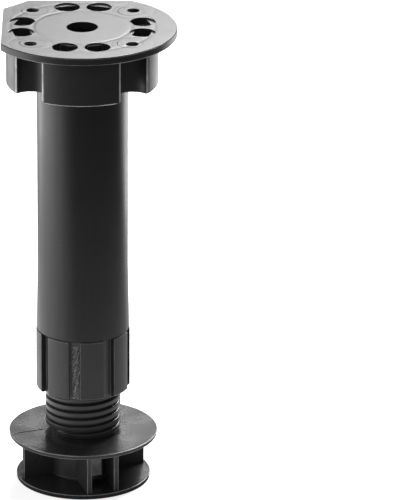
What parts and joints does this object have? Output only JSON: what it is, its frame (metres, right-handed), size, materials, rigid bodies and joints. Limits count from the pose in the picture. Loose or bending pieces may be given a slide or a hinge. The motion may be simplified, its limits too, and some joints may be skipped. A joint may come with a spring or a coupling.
{
  "type": "adjustable furniture leg",
  "caption": "Round plastic cabinet leg with a lobed screw-on mounting plate, a tube, a grooved nut insert and a threaded foot that screws in and out to set the height.",
  "frame": {"origin": "centre of the mounting plate's top face, on the leg's axis", "axes": "+Z along the leg's axis, out of the mounting face and up; the foot is at -Z; +X and +Y run along the sides of the square screw pattern, with the plate's straight sides at -X and +Y"},
  "size_m": [0.0555, 0.0555, 0.153],
  "materials": {
    "head_plastic": "black moulded plastic, fine satin",
    "tube_plastic": "black extruded plastic, satin, with faint lengthwise draw lines",
    "insert_plastic": "black moulded plastic, satin",
    "foot_plastic": "black moulded plastic, satin"
  },
  "bodies": {
    "leg_body": {"mounting_head": "head_plastic", "leg_tube": "tube_plastic", "nut_insert": "insert_plastic"},
    "adjuster": {"adjusting_foot": "foot_plastic"}
  },
  "joints": [
    {"name": "height_adjust", "type": "slide", "parent": "leg_body", "child": "adjuster", "axis": [0, 0, -1], "range_m": [-0.0148, 0.012]}
  ]
}
